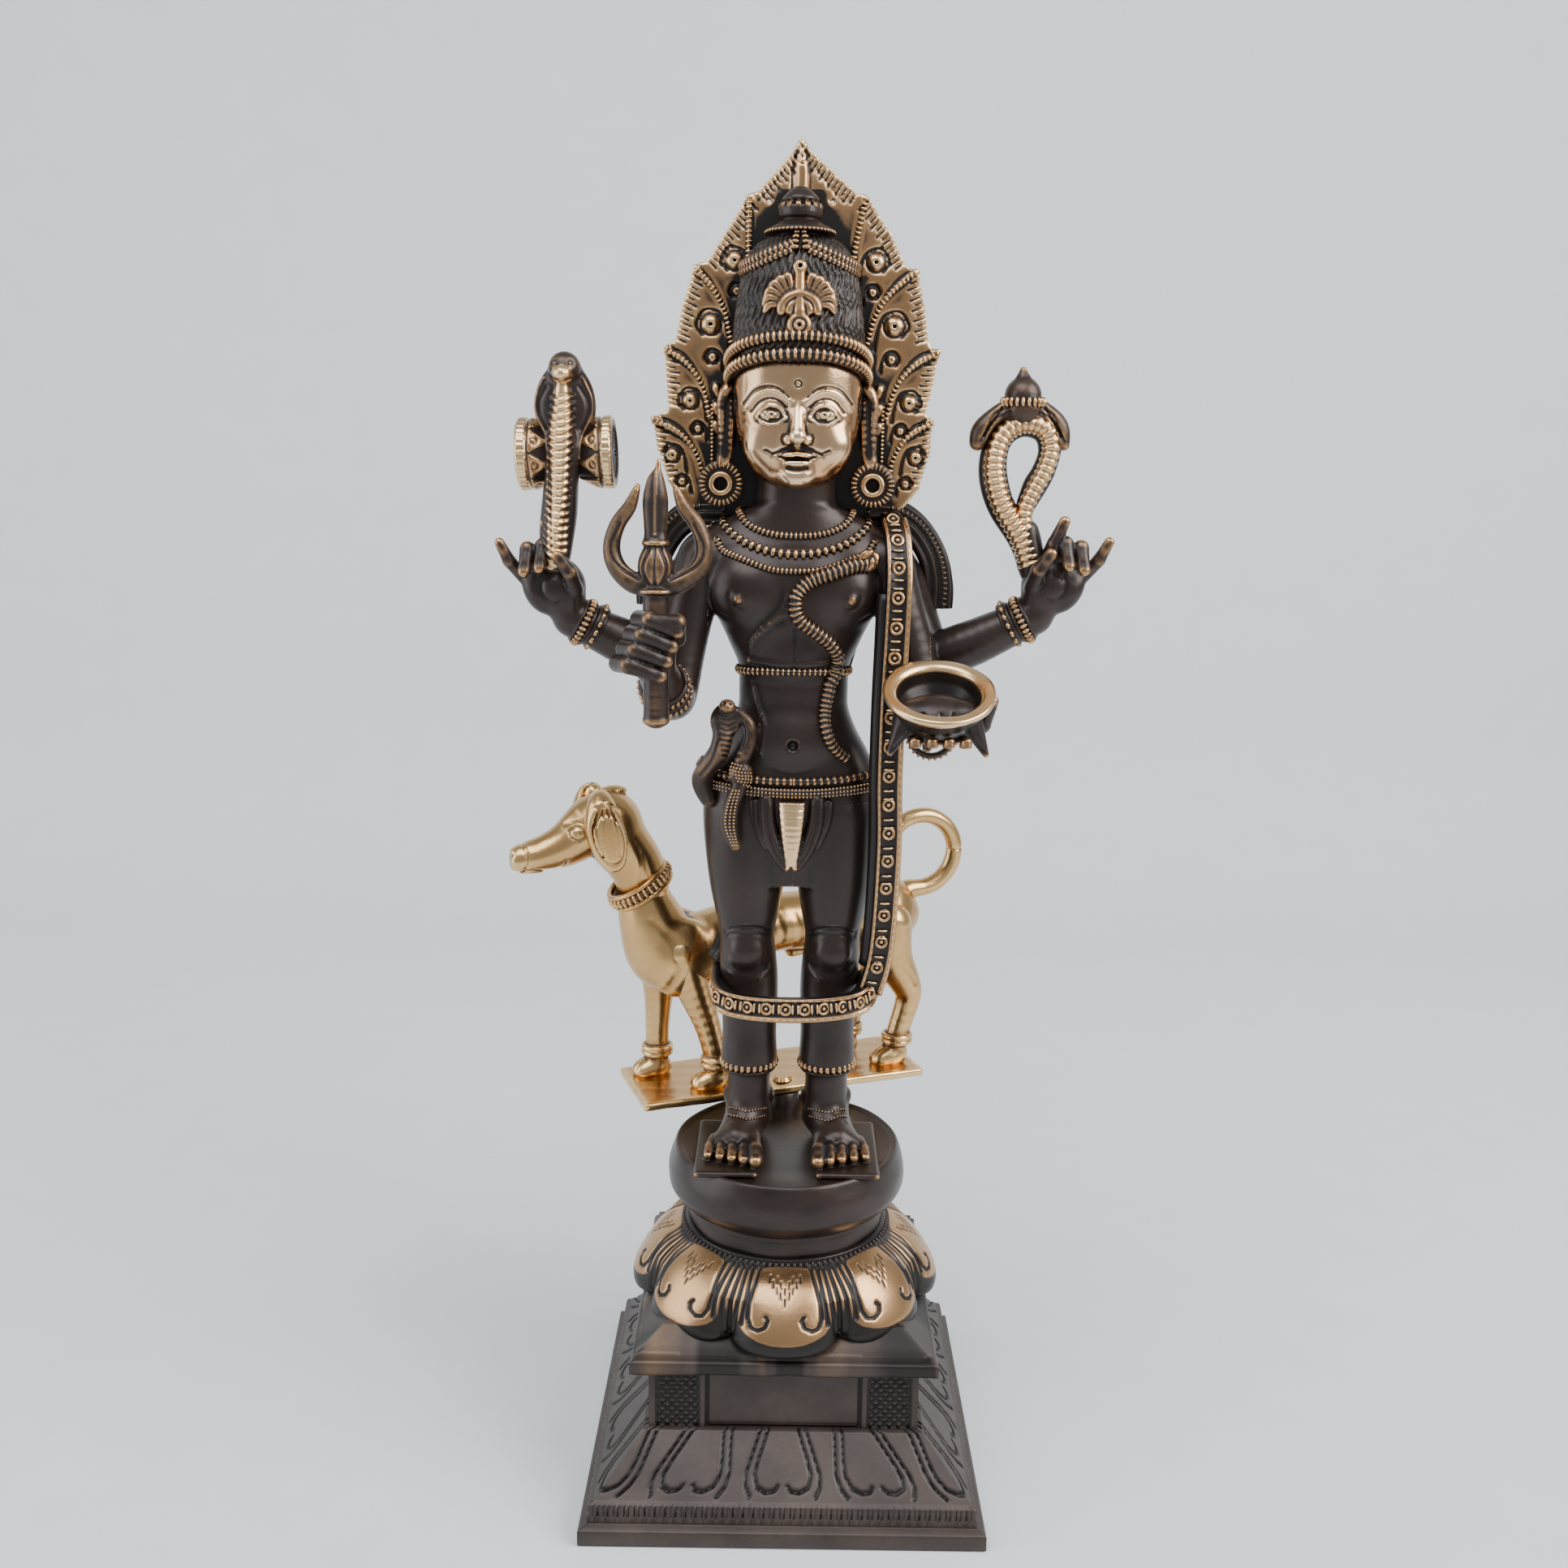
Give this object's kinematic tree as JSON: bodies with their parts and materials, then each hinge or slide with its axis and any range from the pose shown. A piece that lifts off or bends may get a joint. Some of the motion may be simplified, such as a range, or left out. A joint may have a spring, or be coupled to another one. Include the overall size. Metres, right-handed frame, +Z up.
{
  "type": "standing deity statue with dog",
  "caption": "Brass four-armed standing figure with flame halo on a lotus and stepped square plinth, with a dog on a slab that swivels on a pin behind its heels.",
  "frame": {"origin": "centre of the square face the plinth stands on", "axes": "+Z up, the figure faces -Y, +X is the viewer's right when facing it"},
  "size_m": [0.1682, 0.1245, 0.3815],
  "materials": {
    "dark_patina": "dark brown patina, semi-gloss on the high places",
    "worn_brass": "raised brass relieved to metal, dark in the recesses",
    "polished_face": "polished pale brass",
    "bright_brass": "bright brass with fine grinding marks"
  },
  "bodies": {
    "statue": {"plinth_foot": "dark_patina", "plinth_dado": "dark_patina", "plinth_cap": "dark_patina", "lotus_seat": "worn_brass", "lotus_collar": "dark_patina", "pedestal_disc": "dark_patina", "anchor_stud": "bright_brass", "anchor_washer": "bright_brass", "anchor_nut": "bright_brass", "right_leg": "dark_patina", "left_leg": "dark_patina", "torso": "dark_patina", "head": "polished_face", "hair_crown": "dark_patina", "diadem": "worn_brass", "crown_crest": "worn_brass", "flame_halo": "worn_brass", "right_earring": "worn_brass", "left_earring": "worn_brass", "collar_necklace": "worn_brass", "pendant_necklace": "worn_brass", "outer_necklace": "worn_brass", "chest_serpent": "worn_brass", "chest_band": "worn_brass", "girdle": "worn_brass", "hip_cobra": "worn_brass", "loin_flap": "worn_brass", "shoulder_tresses": "dark_patina", "anklets": "worn_brass", "bracelets": "worn_brass", "right_rear_arm": "dark_patina", "left_rear_arm": "dark_patina", "right_front_arm": "dark_patina", "left_front_arm": "dark_patina", "drum": "worn_brass", "drum_cobra": "worn_brass", "noose": "worn_brass", "noose_finial": "worn_brass", "trident": "worn_brass", "skull_bowl": "worn_brass", "garland_strap": "worn_brass", "garland_hem": "worn_brass", "garland_back": "worn_brass", "pivot_pin": "bright_brass"},
    "dog": {"dog_slab": "bright_brass", "dog_body": "bright_brass", "dog_head": "bright_brass", "dog_ears": "bright_brass", "dog_forelegs": "bright_brass", "dog_hindlegs": "bright_brass", "dog_tail": "bright_brass", "dog_collar": "bright_brass"}
  },
  "joints": [
    {"name": "dog_swivel", "type": "hinge", "parent": "statue", "child": "dog", "pos_m": [-0.0015, 0.0275, 0.103], "axis": [0, 0, 1], "range_deg": [-20, 12]}
  ]
}
